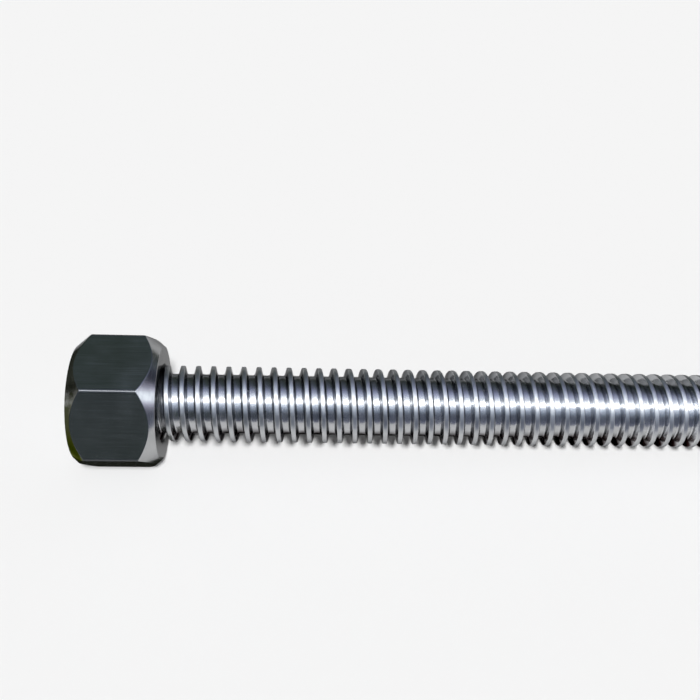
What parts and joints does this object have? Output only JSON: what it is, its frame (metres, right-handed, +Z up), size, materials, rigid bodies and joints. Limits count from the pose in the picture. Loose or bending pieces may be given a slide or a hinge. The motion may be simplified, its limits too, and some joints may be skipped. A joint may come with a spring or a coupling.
{
  "type": "acme threaded rod",
  "caption": "Right-hand Acme threaded steel rod lying on its side, with a double-chamfered heavy hex nut on one end that screws along the rod to move or clamp a load.",
  "frame": {"origin": "on the surface the part lies on, under the middle of its bounding box", "axes": "+X along the rod from the nut to the free end, +Z up, +Y across; the rod slopes down towards +X because the nut is larger than the rod"},
  "size_m": [0.3056, 0.0476, 0.042],
  "materials": {
    "rod_steel": "bright rolled steel with fine marks along the thread",
    "nut_steel": "plain machined steel, smooth flats and turned chamfers"
  },
  "bodies": {
    "rod": {"threaded_rod": "rod_steel"},
    "nut": {"hex_nut": "nut_steel"}
  },
  "joints": [
    {"name": "nut_travel", "type": "slide", "parent": "rod", "child": "nut", "axis": [0.9996, 0, -0.0288], "range_m": [0, 0.27432]}
  ]
}
